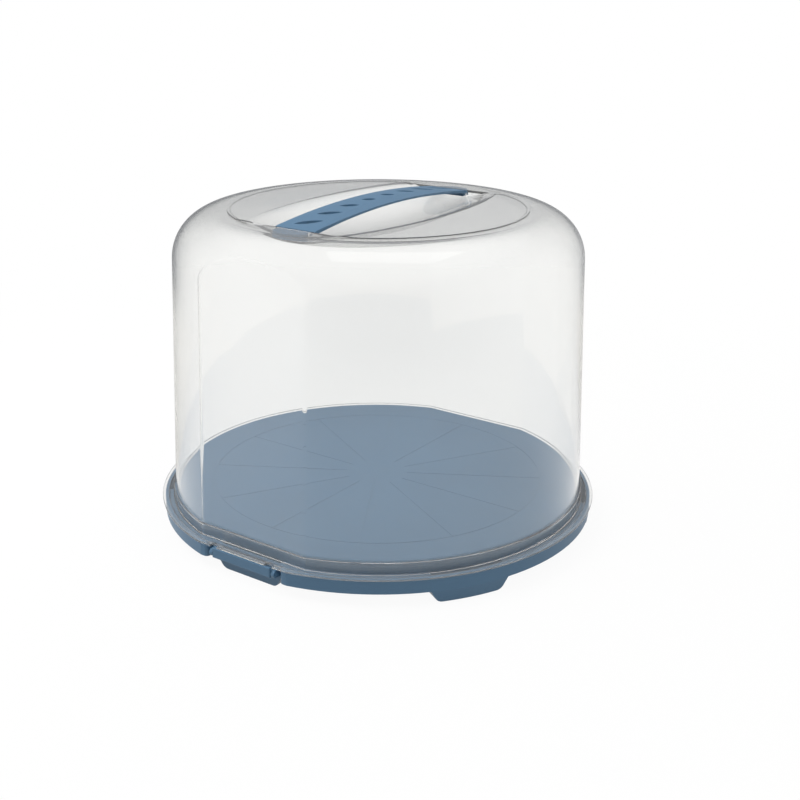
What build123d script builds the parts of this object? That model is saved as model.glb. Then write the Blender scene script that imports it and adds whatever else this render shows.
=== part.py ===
from build123d import *
import os
from math import cos, radians, sin, sqrt

os.makedirs("parts", exist_ok=True)

# A round cake carrier: a clear hood over a footed tray, held down by a hinged latch at each end,
# and carried by an arched strap over a hand scoop in the hood's top.
# Millimetres. Z is up from the feet; the latches and the strap's ends lie along Y.

# Overall sizes
lip_diameter = 355.0            # the hood's lip, across its round sides
overall_height = 260.0          # feet to the crown of the strap

# Tray
tray_wall = 2.4
foot_height = 9.6               # clear height under the rim
rim_top = 20.4                  # the edge that the hood's lip rests over
rim_setback = 2.3               # rim inside the lip's edge
channel_height = 18.5           # upper face of the channel between rim and floor
channel_plate = 2.0
floor_height = 30.0             # upper face of the cake floor
floor_plate = 2.5
floor_edge_radius = 1.5
floor_clearance = 0.3           # floor to the inside of the hood's wall
mark_depth = 0.2                # portion marks pressed into the floor
mark_width = 0.7
mark_count = 12
mark_circle_radius = 134.5
mark_inner_radius = 25.0

# Feet: four under the round sides and one under each latch
foot_angle = 31.5               # outer feet, from the X axis
foot_half_top = 31.0
foot_half_bottom = 25.5
foot_corner_radius = 6.5
foot_lean = 1.4                 # how far the outer face leans in towards the ground

# Hood
hood_wall = 2.2
draft_slope = 0.0342            # two degrees of draft on the wall
flange_width = 9.5              # skirt to lip edge on the round sides
flange_width_flat = 12.0        # the same on the flats
ledge_width = 1.5               # wall to skirt
ledge_height = 30.45
gutter_height = 21.2            # floor of the gutter between skirt and lip
lip_width = 5.2
lip_thickness = 1.3
lip_clearance = 0.3             # lip above the tray's rim
lip_overlap = 0.4               # lip over the gutter's edge
shoulder_radius = 36.0
disc_rise = 0.9                 # the flat top stands this much above the shoulder
disc_margin = 42.3              # edge of the flat top, in from the wall's line
disc_margin_flat = 48.1         # the same on the flats
crown_height = 7.1              # strap's crown above the flat top

# Hand scoop in the hood's top: a trough of round section that curves up towards its ends
scoop_half_width = 57.0         # at its middle
scoop_depth = 18.0              # at its middle
scoop_run_out = 135.0           # where its curve would meet the flat top, along Y
scoop_past_disc = 0.3

# Lip notches, and the catch under the lip between them
notch_inset = 1.4               # notch's middle, in from the latch's end
notch_width = 7.0
notch_depth = 5.6
catch_inset = 4.0               # catch's end, in from the latch's cheek
catch_setback = 3.6             # catch plate's outer face, in from the lip's edge
catch_plate = 1.5
catch_bottom = 16.2
bead_reach = 1.0                # how far the bead stands out from the catch plate
bead_height = 1.4
bead_face = 0.47                # upright part of the bead's face

# Latches
latch_half_width = 28.0
latch_bottom = 12.2
latch_top_clearance = 0.4       # flap below the lip
latch_plate = 1.8
latch_edge_radius = 0.8
hook_reach = 1.5                # inward reach of the hook over the bead
hook_thickness = 1.2
hook_clearance = 0.3            # hook above the bead
pivot_setback = 3.5             # pivot in from the flap's outer face
pivot_height = 15.0
pin_radius = 1.5
pin_clearance = 0.1
pin_proud = 0.8                 # pin's end beyond the ear
cheek_thickness = 3.0
cheek_radius = 2.3
ear_clearance = 0.6             # cheek to ear, along the pin
ear_thickness = 2.8
ear_radius = 3.0
recess_margin = 2.9             # side of the recess beyond the pin's end
flat_margin = 6.73              # end of the lip's flat beyond the recess; the lip is 345 over its flats
recess_depth = 9.1              # back of the recess, in from the lip's edge
recess_corner_radius = 3.2
recess_inner_radius = 2.5

# Strap
strap_width = 36.0
strap_thickness = 2.5
strap_end_clearance = 1.6       # strap's end to the scoop's end wall
strap_sagitta = 8.0             # crown above the strap's ends
roll_start = 6.5                # half width of the flat band at the crown
roll_angle = 5.0                # degrees
roll_sagitta = 6.9
hole_pitch = 24.6
hole_lengths = (11.1, 15.2, 19.2, 21.5)   # from the crown outwards
hole_width = 6.4
hole_angle = 39.0               # degrees
neck_half_width = 12.5
neck_thickness = 2.5
toe_half_width = 15.0
toe_past_wall = 12.4            # toe's end beyond the scoop's end wall
toe_bow = 7.0                   # how far the toe's end bulges
toe_thickness = 2.1
toe_drop = 0.5                  # toe below the deck's underside
toe_clearance = 0.3             # toe in its slot

# Worked out from the sizes above
ear_inside = latch_half_width + ear_clearance
pin_end = ear_inside + ear_thickness + pin_proud
recess_half_width = pin_end + recess_margin
lip_radius = lip_diameter / 2
lip_flat = sqrt(lip_radius ** 2 - (recess_half_width + flat_margin) ** 2)
lip_bottom = rim_top + lip_clearance
skirt_radius = lip_radius - flange_width
skirt_flat = lip_flat - flange_width_flat
wall_radius = skirt_radius - ledge_width
wall_flat = skirt_flat - ledge_width
gutter_bottom = gutter_height - hood_wall
disc_top = overall_height - crown_height
shoulder_top = disc_top - disc_rise
deck_underside = shoulder_top - hood_wall
top_draft = draft_slope * (shoulder_top - ledge_height)
disc_radius = wall_radius - top_draft - disc_margin
disc_flat = wall_flat - top_draft - disc_margin_flat
scoop_half_length = disc_flat + scoop_past_disc
scoop_section_radius = (scoop_half_width ** 2 + scoop_depth ** 2) / (2 * scoop_depth)
scoop_bend_radius = (scoop_run_out ** 2 + scoop_depth ** 2) / (2 * scoop_depth)
rim_radius = lip_radius - rim_setback
rim_flat = lip_flat - rim_setback
floor_radius = wall_radius - hood_wall - floor_clearance
floor_flat = wall_flat - hood_wall - floor_clearance
channel_bottom = channel_height - channel_plate
catch_half_width = latch_half_width - cheek_thickness - catch_inset
notch_centre = latch_half_width - notch_inset
recess_back = lip_flat - recess_depth
pivot_y = lip_flat - pivot_setback
flap_inside = lip_flat - latch_plate
flap_top = lip_bottom - latch_top_clearance
catch_face = lip_flat - catch_setback
bead_top = catch_bottom + bead_height
bead_middle = catch_bottom + bead_height / 2
hook_bottom = bead_top + hook_clearance
strap_half_length = scoop_half_length - strap_end_clearance
toe_reach = scoop_half_length + toe_past_wall
toe_bottom = deck_underside - toe_drop - toe_thickness
slot_reach = 4 * hood_wall      # along Y, right through the scoop's end wall
strap_end_height = overall_height - strap_sagitta


def flatted_disc(radius, flat):
    """A disc cut by two flats square to Y, the plan of every level of the carrier."""
    with BuildSketch(Plane.XY) as disc:
        Circle(radius)
        Rectangle(2 * radius, 2 * flat, mode=Mode.INTERSECT)
    return disc.sketch


def dome(inset, bottom):
    """The hood's form as a solid, from a height up, with every face moved in by inset."""
    top = shoulder_top - inset
    bottom_in = inset + draft_slope * (bottom - ledge_height)
    top_in = inset + draft_slope * (top - ledge_height)
    with BuildPart() as form:
        with BuildSketch(Plane.XZ) as profile:
            with BuildLine():
                Polyline(
                    (0, bottom),
                    (wall_radius - bottom_in, bottom),
                    (wall_radius - top_in, top),
                    (0, top),
                    close=True,
                )
            make_face()
            shoulder = profile.vertices().group_by(Axis.Y)[-1].sort_by(Axis.X)[-1]
            fillet(shoulder, shoulder_radius - inset)
        revolve(axis=Axis.Z)
        with BuildSketch(Plane.YZ):
            with BuildLine():
                Polyline(
                    (bottom_in - wall_flat, bottom),
                    (wall_flat - bottom_in, bottom),
                    (wall_flat - top_in, top),
                    (top_in - wall_flat, top),
                    close=True,
                )
            make_face()
        extrude(amount=lip_radius, both=True, mode=Mode.INTERSECT)
        with BuildSketch(Plane.XY.offset(top - disc_rise)):
            add(flatted_disc(disc_radius - inset, disc_flat - inset))
        extrude(amount=2 * disc_rise)
    return form.part


def scoop(grow):
    """The hand scoop as a solid that hangs from the top, with every face moved out by grow."""
    scoop_bottom = disc_top - scoop_depth
    with BuildPart() as bowl:
        with BuildSketch(Plane.XZ):
            with Locations((0, scoop_bottom + scoop_section_radius)):
                Circle(scoop_section_radius + grow)
        revolve(axis=Axis((0, 0, scoop_bottom + scoop_bend_radius), (1, 0, 0)))
        with BuildSketch(Plane.XY.offset(disc_top)):
            Rectangle(2 * lip_radius, 2 * (scoop_half_length + grow))
        extrude(amount=-2 * scoop_depth, mode=Mode.INTERSECT)
    return bowl.part


def foot_outline(inset):
    """A foot seen from outside the tray, with its walls and its floor moved in by inset."""
    lean = (foot_half_top - foot_half_bottom) * inset / foot_height
    with BuildSketch(Plane.XY) as outline:
        with BuildLine():
            Polyline(
                (inset - foot_half_top, channel_height),
                (inset - foot_half_top, foot_height),
                (inset - foot_half_bottom - lean, inset),
                (foot_half_bottom + lean - inset, inset),
                (foot_half_top - inset, foot_height),
                (foot_half_top - inset, channel_height),
                close=True,
            )
        make_face()
        fillet(outline.vertices().group_by(Axis.Y)[0], foot_corner_radius - inset)
    return outline.sketch


def foot_section(inner, outer, inset):
    """A foot's section across its wall, leaning in towards the ground, between two distances."""
    with BuildSketch(Plane.XY) as section:
        with BuildLine():
            Polyline(
                (inner + inset, 0),
                (outer - inset - foot_lean, 0),
                (outer - inset, foot_height),
                (outer - inset, channel_height),
                (inner + inset, channel_height),
                close=True,
            )
        make_face()
    return section.sketch


def feet(inset):
    """All six feet as solids; with an inset, the pockets inside them."""
    around = radians(foot_angle)
    facing = Plane((0, 0, 0), x_dir=(-sin(around), cos(around), 0), z_dir=(cos(around), sin(around), 0))
    with BuildPart() as outer_foot:
        with BuildSketch(facing):
            add(foot_outline(inset))
        extrude(amount=rim_radius)
        with BuildSketch(Plane.XZ):
            add(foot_section(floor_radius - tray_wall, rim_radius, inset))
        revolve(axis=Axis.Z, mode=Mode.INTERSECT)
    with BuildPart() as latch_foot:
        with BuildSketch(Plane.XZ):
            add(foot_outline(inset))
        extrude(amount=-recess_back)
        with BuildSketch(Plane.YZ):
            add(foot_section(floor_flat - tray_wall, recess_back, inset))
        extrude(amount=foot_half_top, both=True, mode=Mode.INTERSECT)
    with BuildPart() as all_feet:
        add(outer_foot.part)
        mirror(about=Plane.YZ)
        add(latch_foot.part)
        mirror(about=Plane.XZ)
    return all_feet.part


# Tray: rim, channel and raised floor in one thin-walled moulding on hollow feet
with BuildPart() as base:
    with BuildSketch(Plane.XY.offset(foot_height)) as rim_plan:
        add(flatted_disc(rim_radius, rim_flat))
        with Locations((0, recess_back + recess_depth), (0, -recess_back - recess_depth)):
            Rectangle(2 * recess_half_width, 2 * recess_depth, mode=Mode.SUBTRACT)
        corners = rim_plan.vertices().filter_by(lambda v: abs(abs(v.X) - recess_half_width) < 0.01)
        fillet(corners.filter_by(lambda v: abs(v.Y) > recess_back + 1), recess_corner_radius)
        fillet(corners.filter_by(lambda v: abs(v.Y) < recess_back + 1), recess_inner_radius)
    extrude(amount=rim_top - foot_height)
    with BuildSketch(Plane.XY.offset(channel_height)):
        add(flatted_disc(rim_radius - tray_wall, rim_flat - tray_wall))
    extrude(amount=rim_top - channel_height, mode=Mode.SUBTRACT)
    with BuildSketch(Plane.XY.offset(foot_height)):
        add(rim_plan.sketch)
        offset(amount=-tray_wall, mode=Mode.REPLACE)
    extrude(amount=channel_bottom - foot_height, mode=Mode.SUBTRACT)
    with BuildSketch(Plane.XY.offset(channel_bottom)):
        add(flatted_disc(floor_radius, floor_flat))
    extrude(amount=floor_height - channel_bottom)
    fillet(base.faces().sort_by(Axis.Z)[-1].edges(), floor_edge_radius)
    with BuildSketch(Plane.XY.offset(channel_bottom)):
        add(flatted_disc(floor_radius - tray_wall, floor_flat - tray_wall))
    extrude(amount=floor_height - floor_plate - channel_bottom, mode=Mode.SUBTRACT)
    add(feet(0))
    add(feet(tray_wall), mode=Mode.SUBTRACT)
    # Portion marks: a ring and radial lines pressed into the floor
    with BuildSketch(Plane.XY.offset(floor_height)):
        Circle(mark_circle_radius + mark_width / 2)
        Circle(mark_circle_radius - mark_width / 2, mode=Mode.SUBTRACT)
        with PolarLocations((mark_inner_radius + mark_circle_radius) / 2, mark_count):
            Rectangle(mark_circle_radius - mark_inner_radius, mark_width)
    extrude(amount=-mark_depth, mode=Mode.SUBTRACT)
    # Ears that carry the latches' pins
    for side in (-1, 1):
        with BuildSketch(Plane.YZ.offset(side * (ear_inside + ear_thickness / 2))):
            with Locations((pivot_y, pivot_height)):
                Circle(ear_radius)
            with Locations(((recess_back + pivot_y) / 2, pivot_height)):
                Rectangle(pivot_y - recess_back, 2 * ear_radius)
            with Locations((pivot_y, pivot_height)):
                Circle(pin_radius + pin_clearance, mode=Mode.SUBTRACT)
            with Locations((-pivot_y, pivot_height)):
                Circle(ear_radius)
            with Locations((-(recess_back + pivot_y) / 2, pivot_height)):
                Rectangle(pivot_y - recess_back, 2 * ear_radius)
            with Locations((-pivot_y, pivot_height)):
                Circle(pin_radius + pin_clearance, mode=Mode.SUBTRACT)
        extrude(amount=ear_thickness / 2, both=True)
base.part.label = "base"
export_step(base.part, "parts/base.step")


# The hollow of the hood, drawn round the scoop's own wall
with BuildPart() as hollow:
    add(dome(hood_wall, ledge_height - hood_wall))
    add(scoop(hood_wall), mode=Mode.SUBTRACT)

# Hood: drafted wall with two flats, round shoulder, ledge, skirt, gutter and lip
with BuildPart() as hood:
    add(dome(0, ledge_height))
    with BuildSketch(Plane.XY.offset(gutter_bottom)):
        add(flatted_disc(skirt_radius, skirt_flat))
    extrude(amount=ledge_height - gutter_bottom)
    with BuildSketch(Plane.XY.offset(gutter_bottom)):
        add(flatted_disc(lip_radius - lip_width, lip_flat - lip_width))
    extrude(amount=hood_wall)
    with BuildSketch(Plane.XY.offset(lip_bottom)):
        add(flatted_disc(lip_radius, lip_flat))
        lip_inset = lip_width + lip_overlap
        add(flatted_disc(lip_radius - lip_inset, lip_flat - lip_inset), mode=Mode.SUBTRACT)
    extrude(amount=lip_thickness)
    add(hollow.part, mode=Mode.SUBTRACT)
    with BuildSketch(Plane.XY.offset(gutter_bottom)):
        add(flatted_disc(skirt_radius - hood_wall, skirt_flat - hood_wall))
    extrude(amount=ledge_height - hood_wall - gutter_bottom, mode=Mode.SUBTRACT)
    add(scoop(0), mode=Mode.SUBTRACT)
    # Slots in the scoop's end walls for the strap's toes
    with BuildSketch(Plane.XY.offset(toe_bottom - toe_clearance)):
        with Locations((0, scoop_half_length), (0, -scoop_half_length)):
            Rectangle(2 * (toe_half_width + toe_clearance), slot_reach)
    extrude(amount=deck_underside - toe_bottom + toe_clearance, mode=Mode.SUBTRACT)
    # Notches that give a finger room at each end of a latch
    with BuildSketch(Plane.XY.offset(lip_bottom)):
        with Locations([(i * notch_centre, j * lip_flat) for i in (-1, 1) for j in (-1, 1)]):
            SlotOverall(2 * notch_depth, notch_width, rotation=90)
    extrude(amount=lip_thickness, mode=Mode.SUBTRACT)
    # Catch plates under the lip, with a bead that the latch's hook closes over
    for end in (-1, 1):
        with BuildSketch(Plane.YZ):
            with BuildLine():
                Polyline(
                    (end * (catch_face - catch_plate), lip_bottom),
                    (end * catch_face, lip_bottom),
                    (end * catch_face, bead_top),
                    (end * (catch_face + bead_reach), bead_middle + bead_face / 2),
                    (end * (catch_face + bead_reach), bead_middle - bead_face / 2),
                    (end * catch_face, catch_bottom),
                    (end * (catch_face - catch_plate), catch_bottom),
                    close=True,
                )
            make_face()
        extrude(amount=catch_half_width, both=True)
hood.part.label = "hood"
export_step(hood.part, "parts/hood.step")


# Latch: a flap with cheeks that carry its pins, and a hook inside that closes over the bead
with BuildPart() as latch_back:
    with BuildSketch(Plane.XZ.offset(-flap_inside)):
        with Locations((0, (latch_bottom + flap_top) / 2)):
            Rectangle(2 * latch_half_width, flap_top - latch_bottom)
    extrude(amount=-latch_plate)
    fillet(latch_back.faces().sort_by(Axis.Y)[-1].edges(), latch_edge_radius)
    with BuildSketch(Plane.YZ):
        with Locations((flap_inside - hook_reach / 2, hook_bottom + hook_thickness / 2)):
            Rectangle(hook_reach, hook_thickness)
    extrude(amount=catch_half_width, both=True)
    for side in (-1, 1):
        with BuildSketch(Plane.YZ.offset(side * (latch_half_width - cheek_thickness / 2))):
            with Locations((pivot_y, pivot_height)):
                Circle(cheek_radius)
            with Locations(((pivot_y + flap_inside) / 2, pivot_height)):
                Rectangle(flap_inside - pivot_y, 2 * cheek_radius)
        extrude(amount=cheek_thickness / 2, both=True)
    with BuildSketch(Plane.YZ):
        with Locations((pivot_y, pivot_height)):
            Circle(pin_radius)
    extrude(amount=pin_end, both=True)
    with BuildSketch(Plane.YZ):
        with Locations((pivot_y, pivot_height)):
            Circle(pin_radius)
    extrude(amount=latch_half_width - cheek_thickness, both=True, mode=Mode.SUBTRACT)
latch_back.part.label = "latch_back"
export_step(latch_back.part, "parts/latch_back.step")

with BuildPart() as latch_front:
    add(latch_back.part)
    mirror(about=Plane.XZ, mode=Mode.REPLACE)
latch_front.part.label = "latch_front"
export_step(latch_front.part, "parts/latch_front.step")


# Strap: an arched band, rolled down along its sides, with leaf-shaped holes and a toe at each end
with BuildPart() as handle:
    with BuildSketch(Plane.YZ):
        with BuildLine():
            ThreePointArc(
                (-strap_half_length, strap_end_height),
                (0, overall_height),
                (strap_half_length, strap_end_height),
            )
            Line((strap_half_length, strap_end_height), (strap_half_length, strap_end_height - strap_thickness))
            ThreePointArc(
                (strap_half_length, strap_end_height - strap_thickness),
                (0, overall_height - strap_thickness),
                (-strap_half_length, strap_end_height - strap_thickness),
            )
            Line((-strap_half_length, strap_end_height - strap_thickness), (-strap_half_length, strap_end_height))
        make_face()
    extrude(amount=strap_width / 2, both=True)
    for side in (-1, 1):
        tilt = radians(roll_angle)
        tangent = Plane(
            (side * roll_start, 0, overall_height),
            x_dir=(0, 1, 0),
            z_dir=(side * cos(tilt), 0, -sin(tilt)),
        )
        with BuildSketch(tangent):
            with BuildLine():
                ThreePointArc(
                    (-strap_half_length, -side * roll_sagitta),
                    (0, 0),
                    (strap_half_length, -side * roll_sagitta),
                )
                Polyline(
                    (strap_half_length, -side * roll_sagitta),
                    (strap_half_length, side * roll_sagitta),
                    (-strap_half_length, side * roll_sagitta),
                    (-strap_half_length, -side * roll_sagitta),
                )
            make_face()
        extrude(amount=strap_width / 2, mode=Mode.SUBTRACT)
    # Leaf-shaped holes, longer towards the ends
    leaf = radians(hole_angle)
    for index, length in enumerate(hole_lengths):
        bow = (length ** 2 / hole_width - hole_width) / 4
        for side in (-1, 1):
            seat = Plane(
                (0, side * (index + 0.5) * hole_pitch, overall_height),
                x_dir=(cos(leaf), sin(leaf), 0),
                z_dir=(0, 0, 1),
            )
            with BuildSketch(seat):
                with Locations((0, -bow)):
                    Circle(bow + hole_width / 2)
                with Locations((0, bow)):
                    Circle(bow + hole_width / 2, mode=Mode.INTERSECT)
            extrude(amount=-strap_sagitta - 2 * strap_thickness, mode=Mode.SUBTRACT)
    # Neck and toe at each end: the toe reaches through the scoop's end wall, under the deck
    with BuildSketch(Plane.XY.offset(toe_bottom)):
        with Locations((0, strap_half_length - neck_thickness / 2), (0, neck_thickness / 2 - strap_half_length)):
            Rectangle(2 * neck_half_width, neck_thickness)
    extrude(amount=strap_end_height - strap_thickness / 2 - toe_bottom)
    with BuildSketch(Plane.XY.offset(toe_bottom)):
        for end in (-1, 1):
            with BuildLine():
                Polyline(
                    (toe_half_width, end * (toe_reach - toe_bow)),
                    (toe_half_width, end * (strap_half_length - neck_thickness)),
                    (-toe_half_width, end * (strap_half_length - neck_thickness)),
                    (-toe_half_width, end * (toe_reach - toe_bow)),
                )
                ThreePointArc(
                    (-toe_half_width, end * (toe_reach - toe_bow)),
                    (0, end * toe_reach),
                    (toe_half_width, end * (toe_reach - toe_bow)),
                )
            make_face()
    extrude(amount=toe_thickness)
handle.part.label = "handle"
export_step(handle.part, "parts/handle.step")
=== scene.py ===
from math import asin, atan, cos, pi, radians, sin, sqrt

import bmesh
import bpy
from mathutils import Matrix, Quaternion


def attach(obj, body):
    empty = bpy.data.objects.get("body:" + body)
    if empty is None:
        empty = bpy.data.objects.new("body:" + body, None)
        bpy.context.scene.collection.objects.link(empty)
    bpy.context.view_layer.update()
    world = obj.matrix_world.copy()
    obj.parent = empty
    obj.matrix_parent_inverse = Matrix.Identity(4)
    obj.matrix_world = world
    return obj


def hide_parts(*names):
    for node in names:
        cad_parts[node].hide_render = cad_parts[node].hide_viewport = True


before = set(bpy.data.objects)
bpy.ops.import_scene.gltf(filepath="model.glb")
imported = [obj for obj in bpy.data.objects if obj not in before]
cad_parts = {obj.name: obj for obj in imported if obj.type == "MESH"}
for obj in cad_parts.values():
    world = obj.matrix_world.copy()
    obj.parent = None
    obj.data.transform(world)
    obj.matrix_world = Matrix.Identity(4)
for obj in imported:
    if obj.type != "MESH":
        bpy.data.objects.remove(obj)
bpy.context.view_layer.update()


# Camera: stands to the right of the front latch and well above the strap, on a lens of about
# 55 mm. A small shift sets the carrier left of the frame's middle.
camera_place = (0.5523, -0.7715, 0.4339)    # metres
camera_tilt = 70.409            # degrees up from straight down
camera_turn = 36.143            # degrees about the vertical
camera_sensor = 36.0            # mm wide
camera_lens = 55.43             # mm
camera_shift = (0.0417, -0.0047)            # shares of the frame's width
camera_near = 0.01              # metres to the nearest thing that it sees

view_camera = bpy.data.cameras.new("camera")
view_camera.sensor_width = camera_sensor
view_camera.lens = camera_lens
view_camera.shift_x, view_camera.shift_y = camera_shift
view_camera.clip_start = camera_near
camera = bpy.data.objects.new("camera", view_camera)
camera.location = camera_place
camera.rotation_euler = (radians(camera_tilt), 0, radians(camera_turn))
bpy.context.scene.collection.objects.link(camera)
bpy.context.scene.camera = camera


# Studio: a pale floor, a white room for what is seen past the carrier and through it, and
# soft lamps. Glossy rays find a room with two pale sides, two darker ones between them, and a
# pale floor round the carrier.
floor_reach = 4.0               # metres each way
floor_white = "#F4F4F3"
floor_bounce = "#A9A9A8"        # what it throws back at the carrier, as in a larger, darker room
floor_shadow_share = 0.06       # how much of the floor's own shading its white keeps
floor_fade = (0.35, 0.9)        # metres from the carrier over which that falls to nothing
near_floor = "#E8E7E4"          # the least that glossy surfaces see in the floor near the carrier
near_floor_fade = (0.6, 1.0)    # metres from the carrier over which that ends
room_seen = "#FFFFFF"
room_pale_side = "#FFFFFF"      # what glossy surfaces see along one axis of the room
room_dark_side = "#8D8F92"      # and across it
room_pale_turn = 45.0           # that axis, in degrees about the vertical from +X
room_turn = 2.5                 # how fast pale turns dark: a power of the cosine off the axis
room_rise = (0.3, 0.8)          # sines of the heights over which the dark side turns paler
room_rise_share = 0.5           # how far towards the pale side's colour it gets
room_light = "#F7F8F8"          # what the room itself throws on the carrier
room_light_strength = 0.55


def linear(colour):
    """An sRGB hex colour as linear red, green and blue with an alpha of 1."""
    shares = [int(colour[i:i + 2], 16) / 255 for i in (1, 3, 5)]
    return (*(c / 12.92 if c <= 0.04045 else ((c + 0.055) / 1.055) ** 2.4 for c in shares), 1.0)


def add_node(tree, kind, sockets=None, **settings):
    """Adds a node with its settings. Each socket is given a value, or another node's output."""
    made = tree.nodes.new("ShaderNode" + kind)
    for name, value in settings.items():
        setattr(made, name, value)
    for name, value in (sockets or {}).items():
        if isinstance(value, bpy.types.NodeSocket):
            tree.links.new(value, made.inputs[name])
        else:
            made.inputs[name].default_value = value
    return made


def new_material(name):
    """An empty node material, with its output node."""
    made = bpy.data.materials.new(name)
    made.use_nodes = True
    made.node_tree.nodes.clear()
    return made, made.node_tree, made.node_tree.nodes.new("ShaderNodeOutputMaterial")


def add_mesh(name, points, faces):
    """A new mesh object."""
    mesh = bpy.data.meshes.new(name)
    mesh.from_pydata(points, [], faces)
    made = bpy.data.objects.new(name, mesh)
    bpy.context.scene.collection.objects.link(made)
    return made


def room_side(tree, direction):
    """The room's pale or dark side, by how near a direction lies to the room's pale axis."""
    pale_axis = (cos(radians(room_pale_turn)), sin(radians(room_pale_turn)), 0)
    unit = add_node(tree, "VectorMath", {0: direction}, operation="NORMALIZE")
    along = add_node(tree, "VectorMath", {0: unit.outputs["Vector"], 1: pale_axis},
                     operation="DOT_PRODUCT")
    size = add_node(tree, "Math", {0: along.outputs["Value"]}, operation="ABSOLUTE")
    side = add_node(tree, "Math", {0: size.outputs[0], 1: room_turn}, operation="POWER")
    parts = add_node(tree, "SeparateXYZ", {"Vector": unit.outputs["Vector"]})
    rise = add_node(tree, "MapRange", {"Value": parts.outputs["Z"], "From Min": room_rise[0],
                    "From Max": room_rise[1], "To Max": room_rise_share},
                    interpolation_type="SMOOTHSTEP")
    share = add_node(tree, "Math", {0: side.outputs[0], 1: rise.outputs["Result"]},
                     operation="MAXIMUM")
    return add_node(tree, "Mix", {"Factor": share.outputs[0], "A": linear(room_dark_side),
                    "B": linear(room_pale_side)}, data_type="RGBA").outputs["Result"]


one_turn = 1                    # the depth of a ray that one surface has scattered or mirrored


def looking(tree, paths):
    """1 for a ray from the eye, straight or through clear plastic, that no surface has scattered
    or mirrored, and 0 for any other."""
    straight = add_node(tree, "Math", {0: paths.outputs["Is Camera Ray"],
                        1: paths.outputs["Is Transmission Ray"]}, operation="MAXIMUM")
    turned = add_node(tree, "Math", {0: paths.outputs["Diffuse Depth"],
                      1: paths.outputs["Glossy Depth"]}, operation="ADD")
    unturned = add_node(tree, "Math", {0: turned.outputs[0], 1: one_turn / 2},
                        operation="LESS_THAN")
    return add_node(tree, "Math", {0: straight.outputs[0], 1: unturned.outputs[0]},
                    operation="MULTIPLY").outputs[0]


floor = add_mesh("studio_floor", [(x * floor_reach, y * floor_reach, 0)
                 for x, y in ((-1, -1), (1, -1), (1, 1), (-1, 1))], [(0, 1, 2, 3)])
floor_paint, tree, out = new_material("matt white studio floor")
paths = add_node(tree, "LightPath")
place = add_node(tree, "NewGeometry")
lit = add_node(tree, "BsdfDiffuse", {"Color": linear(floor_white)})
distance = add_node(tree, "VectorMath", {0: place.outputs["Position"]}, operation="LENGTH")
nearness = add_node(tree, "MapRange", {"Value": distance.outputs["Value"],
                    "From Min": near_floor_fade[0], "From Max": near_floor_fade[1],
                    "To Min": 1.0, "To Max": 0.0}, interpolation_type="SMOOTHSTEP")
mirrored = add_node(tree, "Mix", {"Factor": nearness.outputs["Result"],
                    "A": room_side(tree, place.outputs["Position"]), "B": linear(near_floor)},
                    data_type="RGBA", blend_type="LIGHTEN")
mirror_light = add_node(tree, "Emission", {"Color": mirrored.outputs["Result"]})
bounce = add_node(tree, "BsdfDiffuse", {"Color": linear(floor_bounce)})
unseen = add_node(tree, "MixShader", {"Fac": paths.outputs["Is Glossy Ray"],
                  1: bounce.outputs[0], 2: mirror_light.outputs[0]})
white_share = add_node(tree, "MapRange", {"Value": distance.outputs["Value"],
                       "From Min": floor_fade[0], "From Max": floor_fade[1],
                       "To Min": 1 - floor_shadow_share, "To Max": 1.0},
                       interpolation_type="SMOOTHSTEP")
white = add_node(tree, "Emission", {"Color": linear(room_seen), "Strength": 1.0})
seen = add_node(tree, "MixShader", {"Fac": white_share.outputs["Result"], 1: lit.outputs[0],
                2: white.outputs[0]})
both = add_node(tree, "MixShader", {"Fac": looking(tree, paths), 1: unseen.outputs[0],
                2: seen.outputs[0]})
tree.links.new(both.outputs[0], out.inputs["Surface"])
floor.data.materials.append(floor_paint)

room = bpy.data.worlds.new("white studio room")
bpy.context.scene.world = room
room.use_nodes = True
tree = room.node_tree
tree.nodes.clear()
paths = add_node(tree, "LightPath")
direction = add_node(tree, "TexCoord")
plain = add_node(tree, "Background", {"Color": linear(room_light),
                 "Strength": room_light_strength})
glossy = add_node(tree, "Background", {"Color": room_side(tree, direction.outputs["Generated"]),
                  "Strength": 1.0})
white = add_node(tree, "Background", {"Color": linear(room_seen), "Strength": 1.0})
unseen = add_node(tree, "MixShader", {"Fac": paths.outputs["Is Glossy Ray"], 1: plain.outputs[0],
                  2: glossy.outputs[0]})
both = add_node(tree, "MixShader", {"Fac": looking(tree, paths), 1: unseen.outputs[0],
                2: white.outputs[0]})
out = tree.nodes.new("ShaderNodeOutputWorld")
tree.links.new(both.outputs[0], out.inputs["Surface"])

# Each lamp: name, place, width and depth in metres, turn in degrees, watts, and whether the
# carrier mirrors it. All face the carrier's middle. The one overhead draws a soft patch of light
# on the hood's shoulder.
lamps = (
    ("key_lamp", (-0.9, -0.6, 1.5), (1.2, 1.2), 0.0, 20.0, False),
    ("fill_lamp", (1.5, -0.3, 0.9), (1.0, 1.2), 0.0, 3.5, False),
    ("back_lamp", (-0.2, 1.4, 1.3), (1.4, 0.8), 0.0, 6.0, False),
    ("overhead_lamp", (0.0, 0.17, 1.75), (1.0, 0.85), 28.0, 1.6, True),
)
lamp_target_height = 0.12       # metres, the carrier's middle
for name, spot, size, turned, watts, mirrored in lamps:
    light = bpy.data.lights.new(name, "AREA")
    light.shape = "RECTANGLE"
    light.size, light.size_y = size
    light.energy = watts
    lamp = bpy.data.objects.new(name, light)
    lamp.location = spot
    aim = lamp.location.copy()
    aim.z -= lamp_target_height
    facing = aim.to_track_quat("Z", "Y") @ Quaternion((0, 0, 1), radians(turned))
    lamp.rotation_euler = facing.to_euler()
    lamp.visible_glossy = lamp.visible_transmission = mirrored
    bpy.context.scene.collection.objects.link(lamp)

bpy.context.scene.view_settings.view_transform = "Standard"


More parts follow.
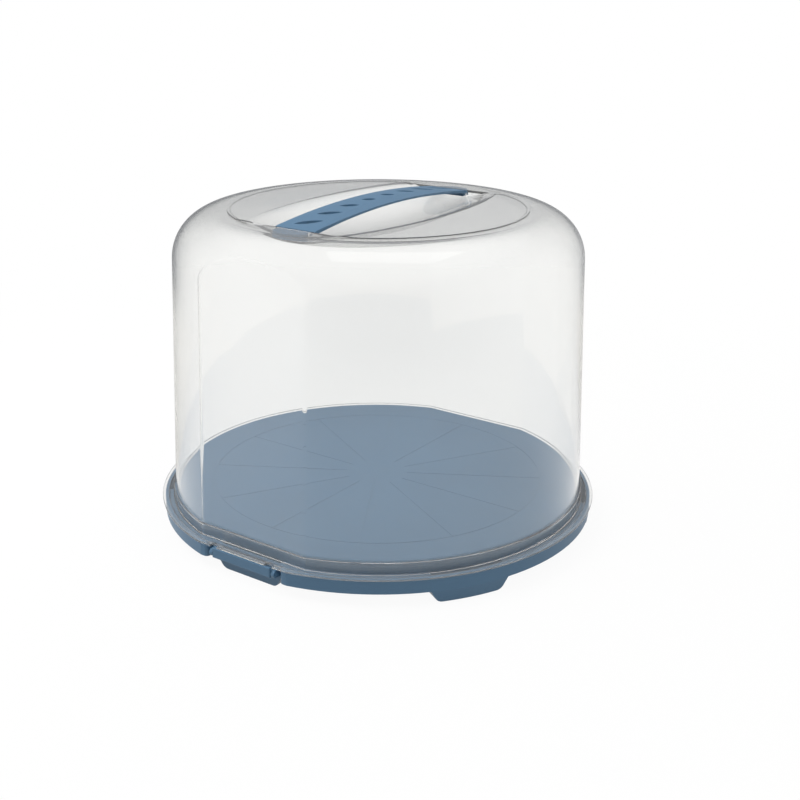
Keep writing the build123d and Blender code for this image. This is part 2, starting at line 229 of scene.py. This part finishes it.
# Tray: one thin blue moulding with a raised floor, a channel, a rim and six hollow feet.
# Injection-moulded polypropylene, from a tool with a fine spark-eroded texture. The cake stands
# on it, and the hood's lip lies over its rim.
MM = 0.001                      # metres in a millimetre
blue_colour = "#5A7E9C"
blue_deep_colour = "#527593"    # the same plastic where the pigment lies thicker
blue_roughness = (0.36, 0.46)
polypropylene_ior = 1.49
flow_mm = 45.0                  # cloudiness along the melt's flow
flow_detail = 2.0
grain_mm = 0.9                  # spark texture, drawn coarser than its real 0.1 mm so that it shows
grain_height_mm = 0.012
grain_detail = 3.0

# Satin: light spreads into a soft sheen, broken up by the grain, over a faintly cloudy blue.
blue_plastic, tree, out = new_material("blue polypropylene, spark-eroded satin")
place = add_node(tree, "TexCoord")
clouds = add_node(tree, "TexNoise", {"Vector": place.outputs["Object"],
                  "Scale": 1 / (flow_mm * MM), "Detail": flow_detail})
tint = add_node(tree, "Mix", {"Factor": clouds.outputs["Fac"], "A": linear(blue_deep_colour),
                "B": linear(blue_colour)}, data_type="RGBA")
grain = add_node(tree, "TexNoise", {"Vector": place.outputs["Object"],
                 "Scale": 1 / (grain_mm * MM), "Detail": grain_detail})
sheen = add_node(tree, "MapRange", {"Value": grain.outputs["Fac"], "To Min": blue_roughness[0],
                 "To Max": blue_roughness[1]})
relief = add_node(tree, "Bump", {"Height": grain.outputs["Fac"], "Distance": grain_height_mm * MM,
                  "Strength": 1.0})
skin = add_node(tree, "BsdfPrincipled", {"Base Color": tint.outputs["Result"],
                "Roughness": sheen.outputs["Result"], "Normal": relief.outputs["Normal"],
                "IOR": polypropylene_ior})
tree.links.new(skin.outputs[0], out.inputs["Surface"])


def finish_node(name, material):
    """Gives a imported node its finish."""
    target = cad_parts[name]
    target.data.materials.clear()
    target.data.materials.append(material)


finish_node("base", blue_plastic)


# Hood: one injection moulding in clear polypropylene, 2.2 mm thick, with a drafted wall cut by two
# flats, a round shoulder, a ledge, skirt, gutter and lip at the foot, and a hand scoop in the top.
# It lifts straight off once the latches are open. Sizes are in mm; pairs are round sides, flats.
lip_radius = 177.5
lip_flat = 172.5                # middle to the flats that the latches close on
hood_wall = 2.2
draft = 0.0342                  # the wall leans in by this much of its height
lip_bottom, lip_top = 20.7, 22.0
lip_inner = (171.9, 166.9)
gutter_outer = (172.3, 167.3)
gutter_floor = 21.2
skirt = (168.0, 160.5)
ledge_height = 30.45
wall = (166.5, 159.0)           # at the ledge
wall_rings = (20, 50, 100, 150)             # heights above the ledge
shoulder_radius = 36.0
shoulder_top = 252.0
disc = (116.62, 103.3)
disc_top = 252.9
disc_border = 2.0               # the flat top's first ring of faces
edge_round = 0.4                # on the lip's edges
edge_steps = 4
step_round = 0.2                # on the disc's step, above and below
ledge_round = 0.8
ledge_steps = 5
gutter_round = 1.4
gutter_steps = 6
shoulder_steps = 12
no_flat = 1000.0                # a level whose circle the flats don't reach
blend = 0.5                     # circle and flats blend where they lie this close
arc_columns = 96
blend_columns = 8
flat_columns = 10


def level(radius, flat, height):
    """One level of the hood: a circle cut by two flats, blended where they meet. Its columns are
    closer in the blends, and it starts at the same corner each time."""
    least = 0.01                # keeps the flats' distance finite where a column runs along them
    first, last = (asin(min(1.0, flat / away)) for away in (radius + blend, radius - blend))
    angles = [first * (2 * i / arc_columns - 1) for i in range(arc_columns)]
    angles += [first + (last - first) * i / blend_columns for i in range(blend_columns)]
    angles += [last + (pi - 2 * last) * i / flat_columns for i in range(flat_columns)]
    angles += [pi - last + (last - first) * i / blend_columns for i in range(blend_columns)]
    ring = []
    for angle in angles:
        flat_away = flat / max(abs(sin(angle)), least)
        overlap = max(blend - abs(radius - flat_away), 0)
        away = min(radius, flat_away) - overlap ** 2 / (4 * blend)
        ring.append((away * cos(angle), away * sin(angle)))
    ring += [(-x, -y) for x, y in ring]
    return [(x * MM, y * MM, height * MM) for x, y in ring]


def turn(centre, radius, first, last, steps, gap):
    """A rounding in the hood's section, as (round side, flat, height), angles in degrees. The
    gap is how far the flats lie inside the round sides."""
    for i in range(steps + 1):
        angle = radians(first + (last - first) * i / steps)
        reach = centre[0] + radius * cos(angle)
        yield reach, reach - gap, centre[1] + radius * sin(angle)


def shoulder(inset):
    """The hood from its top edge down the shoulder, with the face moved in by inset. The levels
    lie closer where the flat begins, so that the arch on its top edge comes out round."""
    lean = atan(draft)
    centre_height = shoulder_top - shoulder_radius
    centre = wall[0] - draft * (centre_height - ledge_height) - shoulder_radius / cos(lean)
    radius = shoulder_radius - inset
    top_border = 1.0            # from the shoulder's first level in to the flat top
    halvings = 60

    def at(angle):
        height = centre_height + radius * sin(angle)
        flat = wall[1] - inset - draft * (height - ledge_height)
        return centre + radius * cos(angle), flat, height

    def where(gap):
        """The angle at which the circle has grown to the flat's distance plus a gap."""
        low, high = lean, pi / 2
        for _ in range(halvings):
            middle = (low + high) / 2
            circle, flat, _ = at(middle)
            low, high = (low, middle) if circle < flat + gap else (middle, high)
        return (low + high) / 2

    first, last = where(-blend), where(blend)
    few, many = shoulder_steps // 2, 2 * shoulder_steps
    yield centre - top_border, no_flat, shoulder_top - inset
    for i in range(shoulder_steps):
        yield at(pi / 2 + (first - pi / 2) * i / shoulder_steps)
    for i in range(few):
        yield at(first + (last - first) * i / few)
    for i in range(many + 1):
        yield at(last + (lean - last) * (i / many) ** 2)


def tube(rings):
    """The points and faces of a tube through a row of rings, with a flat face at each end."""
    count = len(rings[0])
    faces = [tuple(range(count))[::-1], tuple((len(rings) - 1) * count + i for i in range(count))]
    for row in range(len(rings) - 1):
        start, above = row * count, (row + 1) * count
        for i in range(count):
            j = (i + 1) % count
            faces.append((start + i, start + j, above + j, above + i))
    return [p for ring in rings for p in ring], faces


def step(inset):
    """The small step round the disc, with the face moved in by inset."""
    upper = (disc[0] - inset - step_round, disc_top - inset - step_round)
    lower = (disc[0] - inset + step_round, shoulder_top - inset + step_round)
    yield from turn(upper, step_round, 90, 0, edge_steps, disc_gap)
    yield from turn(lower, step_round, 180, 270, edge_steps, disc_gap)


def lip_edge(reach, height, first, last):
    """One rounded edge of the lip or the gutter; its centre is given, and angles in degrees."""
    return turn((reach, height), edge_round, first, last, edge_steps, lip_gap)


wall_gap = wall[0] - wall[1]
lip_gap = lip_radius - lip_flat
disc_gap = disc[0] - disc[1]
hood_bottom = gutter_floor - hood_wall
inner_foot = ledge_height - hood_wall

# The section, from the middle of the top out, down the outside, and back up the inside.
levels = [(disc[0] - disc_border, disc[1] - disc_border, disc_top)]
levels += step(0)
levels += shoulder(0)
levels += [(wall[0] - draft * h, wall[1] - draft * h, ledge_height + h)
           for h in (*wall_rings[::-1], 0)]
levels += turn((skirt[0] - ledge_round, ledge_height - ledge_round), ledge_round, 90, 0,
               ledge_steps, wall_gap)
levels += turn((skirt[0] + gutter_round, gutter_floor + gutter_round), gutter_round, 180, 270,
               gutter_steps, wall_gap)
levels += [(*lip_inner, gutter_floor)]
levels += lip_edge(lip_inner[0] + edge_round, lip_top - edge_round, 180, 90)
levels += lip_edge(lip_radius - edge_round, lip_top - edge_round, 90, 0)
levels += lip_edge(lip_radius - edge_round, lip_bottom + edge_round, 0, -90)
levels += [(*gutter_outer, lip_bottom)]
levels += lip_edge(gutter_outer[0] - edge_round, hood_bottom + edge_round, 0, -90)
outside_levels = len(levels)
levels += [(skirt[0] - hood_wall, skirt[1] - hood_wall, hood_bottom)]
levels += [(skirt[0] - hood_wall, skirt[1] - hood_wall, inner_foot)]
levels += [(wall[0] - hood_wall - draft * h, wall[1] - hood_wall - draft * h, ledge_height + h)
           for h in (-hood_wall, *wall_rings)]
levels += list(shoulder(hood_wall))[::-1]
levels += list(step(hood_wall))[::-1]
hood = add_mesh("clear_hood", *tube([level(*one) for one in levels]))

# The tube's first face is the flat top, its second is the ceiling under it, and the rings follow.
outside, inside = 0, 1          # material slots
columns = 2 * (arc_columns + 2 * blend_columns + flat_columns)
first_inside = 2 + columns * outside_levels
for face in hood.data.polygons:
    is_inner = face.index == 1 or face.index >= first_inside
    face.material_index = inside if is_inner else outside

# The hand scoop: a trough of round section that curves up towards its ends. Its long edges roll
# softly over into the flat top, and its ends stand upright.
scoop_half_width = 57.0
scoop_half_length = 103.6
scoop_depth = 18.0
scoop_run_out = 135.0           # where its curve would meet the flat top
scoop_section = (scoop_half_width ** 2 + scoop_depth ** 2) / (2 * scoop_depth)
scoop_bend = (scoop_run_out ** 2 + scoop_depth ** 2) / (2 * scoop_depth)
roll = 4.0                      # the trough and the top blend where their heights lie this close
roll_start = 0.16               # share of the blend at which it leaves the top, at a slight angle
run_off = (6.5, 0.3)            # the form's own edge, out past the blend and up
bunching = 0.4                  # how much closer its columns lie towards its edges
scoop_columns = 44
scoop_stations = 44
join_overlap = 0.5              # how deep in the flat top's thickness the joined form ends
cut_overrun = 3.0               # how far a cutting form runs past what it cuts


def trough(name, grow, deck, top):
    """The scoop as a closed form, grown on every face, blended into a level and up to a top."""
    middle = disc_top - scoop_depth + scoop_bend
    set_back = scoop_bend - scoop_section
    rings = []
    for station in range(scoop_stations + 1):
        y = (scoop_half_length + grow) * (2 * station / scoop_stations - 1)
        edge_away = sqrt((middle - deck - roll * (1 - roll_start)) ** 2 + y ** 2) - set_back
        edge = sqrt((scoop_section + grow) ** 2 - edge_away ** 2)
        ring = [(-edge - run_off[0], top), (-edge - run_off[0], deck + run_off[1])]
        for column in range(scoop_columns + 1):
            share = 2 * column / scoop_columns - 1
            x = edge * share * (1 + bunching - bunching * share ** 2)
            away = set_back + sqrt((scoop_section + grow) ** 2 - x ** 2)
            height = middle - sqrt(away ** 2 - y ** 2)
            overlap = max(roll - abs(deck - height), 0)
            ring.append((x, min(deck, height) - overlap ** 2 / (4 * roll)))
        ring += [(edge + run_off[0], deck + run_off[1]), (edge + run_off[0], top)]
        rings.append([(x * MM, y * MM, z * MM) for x, z in ring])
    return add_mesh(name, *tube(rings))


def prism(outline, near, far, place):
    """The points and faces of a prism on an outline; place puts (u, v, depth) in the frame."""
    count = len(outline)
    points = [place(u, v, depth) for depth in (near, far) for u, v in outline]
    faces = [tuple(range(count)), tuple(range(2 * count - 1, count - 1, -1))]
    faces += [(i, (i + 1) % count, count + (i + 1) % count, count + i) for i in range(count)]
    return [tuple(c * MM for c in p) for p in points], faces


def gathered(name, solids):
    """Several solids that don't touch, as one mesh."""
    points, faces = [], []
    for more_points, more_faces in solids:
        faces += [tuple(len(points) + i for i in face) for face in more_faces]
        points += more_points
    return add_mesh(name, points, faces)


def tidy(target):
    """Merges points that coincide and turns every face outwards."""
    same_place, no_length = 2e-6, 1e-6      # metres
    form = bmesh.new()
    form.from_mesh(target.data)
    bmesh.ops.remove_doubles(form, verts=form.verts, dist=same_place)
    bmesh.ops.dissolve_degenerate(form, edges=form.edges, dist=no_length)
    bmesh.ops.recalc_face_normals(form, faces=form.faces)
    form.to_mesh(target.data)
    form.free()


def carve(target, tool, operation):
    """Joins a tool to the target, or cuts it away, and deletes the tool."""
    tidy(tool)
    carving = target.modifiers.new("carving", "BOOLEAN")
    carving.operation, carving.solver, carving.object = operation, "EXACT", tool
    bpy.context.view_layer.update()
    carved = target.evaluated_get(bpy.context.evaluated_depsgraph_get())
    result = bpy.data.meshes.new_from_object(carved)
    target.modifiers.clear()
    target.data = result
    bpy.data.objects.remove(tool)


# Under the lip at each latch, a catch plate with a bead along its foot. At each end of a latch,
# a round-bottomed notch in the lip. In each end wall of the scoop, a slot for the strap's toe.
catch_half_width = 21.0
catch_face = 168.9
catch_plate = 1.5
catch_bottom = 16.2
bead_reach, bead_height = 1.0, 1.4          # its face is the middle third of its height
notch_centre, notch_half_width, notch_depth = 26.6, 3.5, 5.4
notch_steps = 12
slot_half_width = 15.3
slot_bottom, slot_top = 246.9, 249.85

catch = [(catch_face - catch_plate, gutter_floor), (catch_face, gutter_floor),
         (catch_face, catch_bottom + bead_height),
         (catch_face + bead_reach, catch_bottom + 2 * bead_height / 3),
         (catch_face + bead_reach, catch_bottom + bead_height / 3), (catch_face, catch_bottom),
         (catch_face - catch_plate, catch_bottom)]
catches = [prism(catch, -catch_half_width, catch_half_width, lambda u, v, d, s=s: (d, s * u, v))
           for s in (-1, 1)]
notch = [(notch_half_width * cos(a), -notch_depth + notch_half_width + notch_half_width * sin(a))
         for a in (radians(180 + 180 * i / notch_steps) for i in range(notch_steps + 1))]
notch += [(notch_half_width, notch_depth), (-notch_half_width, notch_depth)]
notches = [prism(notch, lip_bottom - cut_overrun, lip_top + cut_overrun,
                 lambda u, v, d, x=x, s=s: (x * notch_centre + u, s * (lip_flat + v), d))
           for x in (-1, 1) for s in (-1, 1)]
slot = [(-slot_half_width, slot_bottom), (slot_half_width, slot_bottom),
        (slot_half_width, slot_top), (-slot_half_width, slot_top)]
slots = [prism(slot, scoop_half_length - 2 * hood_wall, scoop_half_length + 2 * hood_wall,
               lambda u, v, d, s=s: (u, s * d, v)) for s in (-1, 1)]

tidy(hood)
scoop_wall = trough("scoop_wall", hood_wall, disc_top - hood_wall, shoulder_top - join_overlap)
for face in scoop_wall.data.polygons:
    face.material_index = inside
carve(hood, scoop_wall, "UNION")
carve(hood, gathered("catches", catches), "UNION")
carve(hood, trough("scoop_hollow", 0.0, disc_top, disc_top + cut_overrun), "DIFFERENCE")
carve(hood, gathered("notches", notches), "DIFFERENCE")
carve(hood, gathered("slots", slots), "DIFFERENCE")
tidy(hood)
crease_angle = 14               # degrees between faces that meet in a sharp edge
hood.data.shade_smooth()
hood.data.set_sharp_from_angle(angle=radians(crease_angle))
steady = hood.modifiers.new("flat faces stay flat", "WEIGHTED_NORMAL")
steady.keep_sharp = True

# Clear random copolymer polypropylene: polished tool faces give a wet gloss, the thickness a
# faint grey, seen where the wall turns edge on, and slow moulding waves bend the reflections.
# Wiping has left a faint haze on the outside, which the inside doesn't have.
hazed_clearness = 0.95
polished_clearness = 1.0
clear_roughness = 0.02
wave_mm = 60.0
wave_height_mm = 0.03
wave_detail = 1.0
clear_grey = "#DDDEDC"
clear_density = 3.0             # per metre of plastic
haze_white = "#FEFEFD"
shadow_tint = "#FEFEFE"         # what each face lets through of the light that casts shadows


def clear_finish(name, clearness):
    """Polished clear plastic; what isn't clear of it scatters light at the surface."""
    made, tree, out = new_material(name)
    place = add_node(tree, "TexCoord")
    waves = add_node(tree, "TexNoise", {"Vector": place.outputs["Object"],
                     "Scale": 1 / (wave_mm * MM), "Detail": wave_detail})
    relief = add_node(tree, "Bump", {"Height": waves.outputs["Fac"],
                      "Distance": wave_height_mm * MM, "Strength": 1.0})
    skin = add_node(tree, "BsdfPrincipled", {"Base Color": linear(haze_white),
                    "Roughness": clear_roughness, "Normal": relief.outputs["Normal"],
                    "IOR": polypropylene_ior, "Transmission Weight": clearness})
    paths = add_node(tree, "LightPath")
    shaded = add_node(tree, "BsdfTransparent", {"Color": linear(shadow_tint)})
    both = add_node(tree, "MixShader", {"Fac": paths.outputs["Is Shadow Ray"], 1: skin.outputs[0],
                    2: shaded.outputs[0]})
    depth = add_node(tree, "VolumeAbsorption", {"Color": linear(clear_grey),
                     "Density": clear_density})
    tree.links.new(both.outputs[0], out.inputs["Surface"])
    tree.links.new(depth.outputs[0], out.inputs["Volume"])
    return made


hood.data.materials.clear()
hood.data.materials.append(clear_finish("clear polypropylene, faintly hazed", hazed_clearness))
hood.data.materials.append(clear_finish("clear polypropylene, polished", polished_clearness))
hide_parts("hood")
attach(hood, "hood")


# Strap: an arched band with leaf-shaped holes, rolled down along its sides, moulded in the tray's
# blue polypropylene. A toe at each end snaps through the scoop's end wall, under the flat top.
finish_node("handle", blue_plastic)


# Latches: two flaps, each moulded in one with its pins in the tray's blue polypropylene. They turn
# on the pins in the tray's recesses and hook over the beads on the hood's catches.
finish_node("latch_front", blue_plastic)
finish_node("latch_back", blue_plastic)
